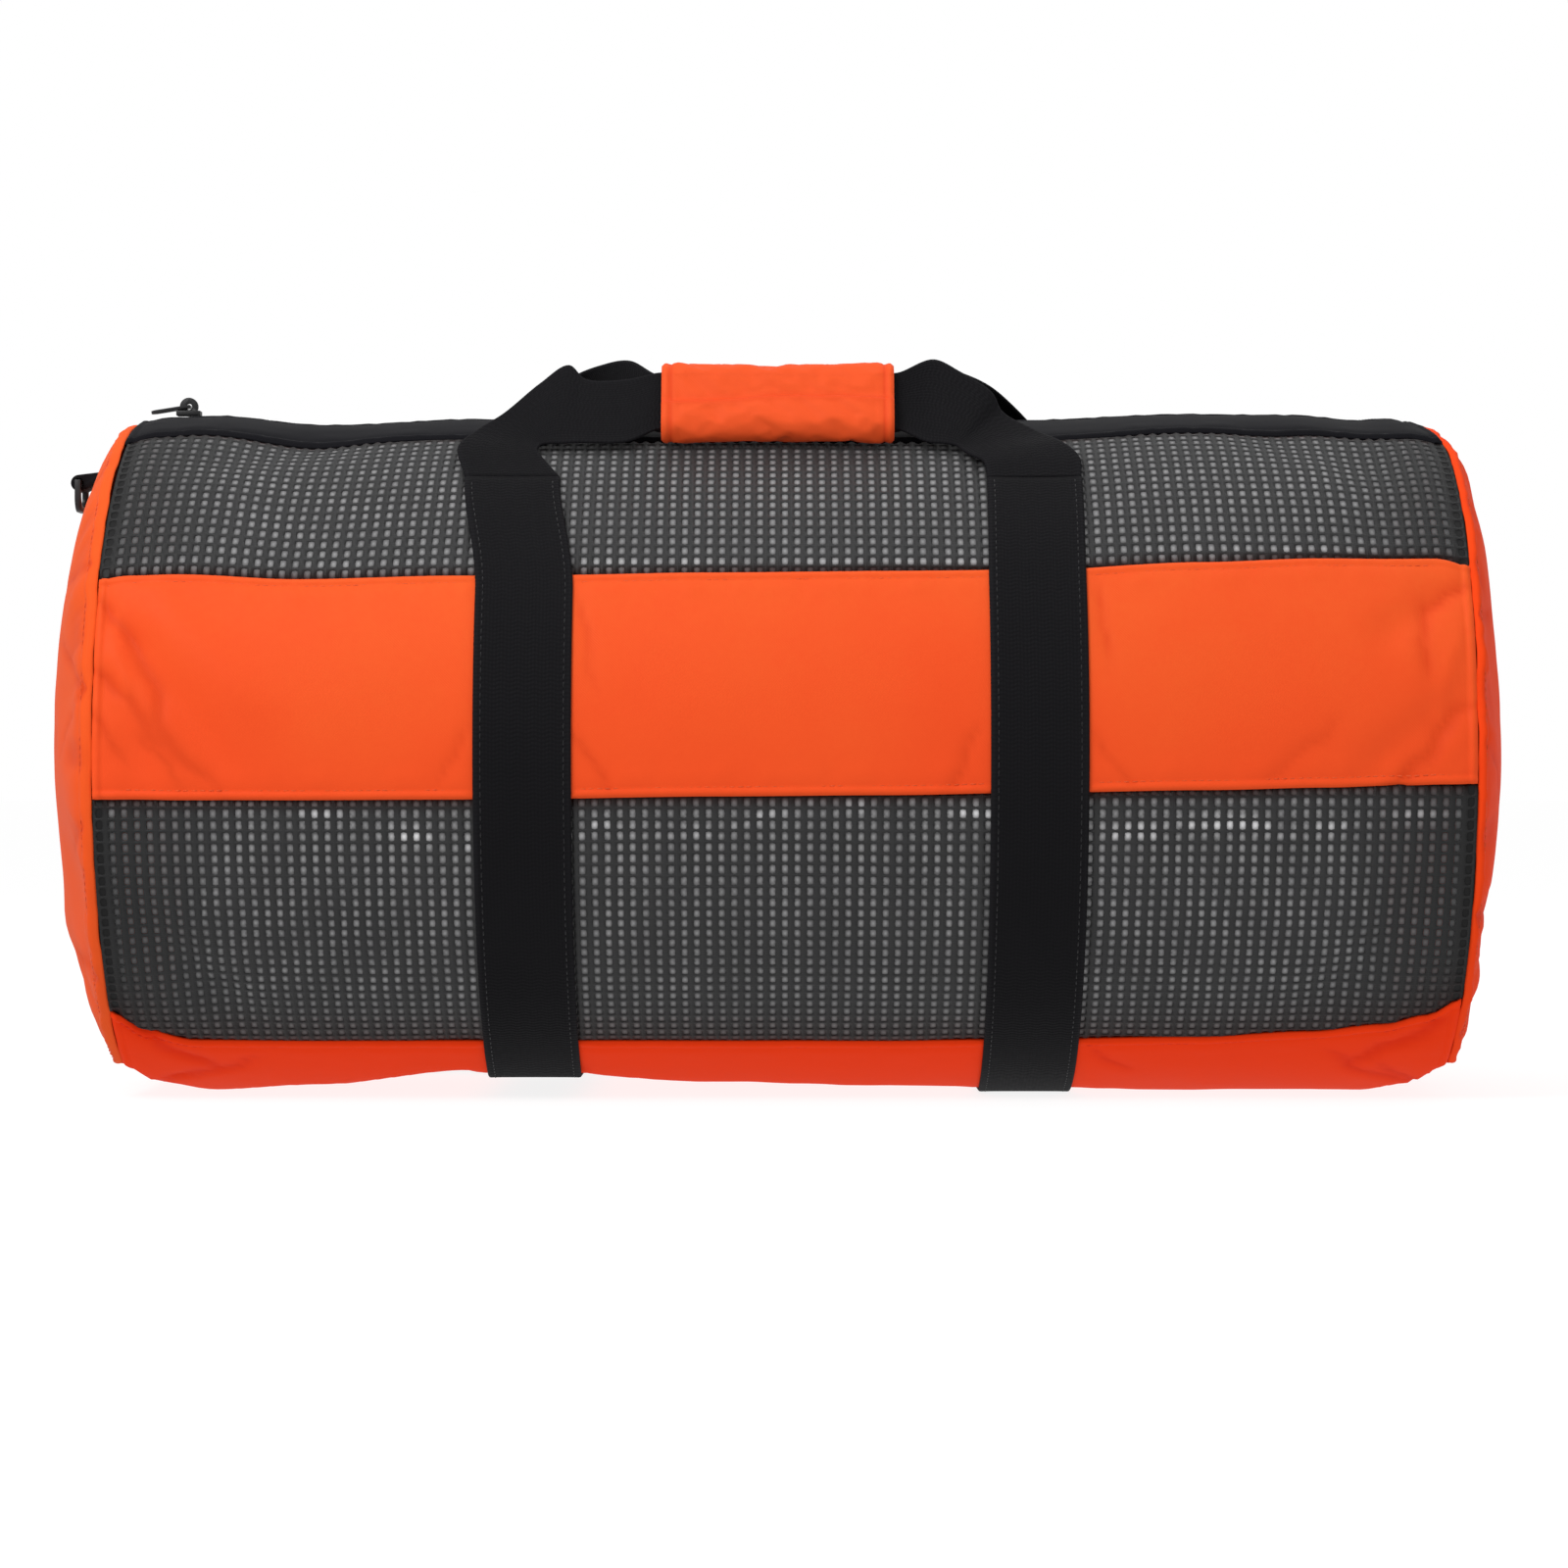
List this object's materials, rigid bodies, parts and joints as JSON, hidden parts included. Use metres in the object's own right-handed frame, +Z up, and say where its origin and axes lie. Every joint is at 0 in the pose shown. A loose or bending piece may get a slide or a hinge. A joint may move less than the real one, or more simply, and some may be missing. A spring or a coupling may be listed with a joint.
{
  "type": "mesh duffel bag",
  "caption": "Roll-shaped duffel bag of cloth and net panels with domed ends, a zip along the top, webbing straps under it and two handles joined in a padded grip.",
  "frame": {"origin": "on the ground under the middle of the bag's outline", "axes": "+X along the bag towards its right end as seen from the front, +Y to the back, +Z up"},
  "size_m": [0.7768, 0.3712, 0.3938],
  "materials": {
    "orange_cloth": "coated plain-weave cloth, orange, soft sheen",
    "orange_under": "the same coated cloth, in its own shade under the bag",
    "black_net": "knitted open net, black, slightly shiny strands",
    "black_cloth": "black plain-weave cloth",
    "black_webbing": "black woven webbing",
    "zip_plastic": "black moulded plastic, satin",
    "ring_plastic": "black moulded plastic, satin"
  },
  "bodies": {
    "bag": {"bottom_panel": "orange_under", "net_lower_front": "black_net", "net_lower_back": "black_net", "side_band_front": "orange_cloth", "side_band_back": "orange_cloth", "net_upper_front": "black_net", "net_upper_back": "black_net", "top_panel_front": "black_cloth", "top_panel_back": "black_cloth", "zip_tape_front": "black_cloth", "zip_tape_back": "black_cloth", "zip_coil": "zip_plastic", "zip_slider": "zip_plastic", "end_panel_left": "orange_cloth", "end_panel_right": "orange_cloth", "end_binding_left": "black_cloth", "end_binding_right": "black_cloth", "strap_left": "black_webbing", "strap_right": "black_webbing", "handle_front": "black_webbing", "handle_back": "black_webbing", "handle_grip": "orange_cloth", "end_tab": "black_webbing"},
    "zip_pull": {"zip_pull": "zip_plastic"},
    "end_ring": {"end_ring": "ring_plastic"}
  },
  "joints": [
    {"name": "pull_swing", "type": "hinge", "parent": "bag", "child": "zip_pull", "pos_m": [-0.32175, 0, 0.37299], "axis": [0, 1, 0], "range_deg": [0, 165]},
    {"name": "ring_swing", "type": "hinge", "parent": "bag", "child": "end_ring", "pos_m": [-0.38072, 0, 0.33061], "axis": [0, 1, 0], "range_deg": [0, 160]}
  ]
}
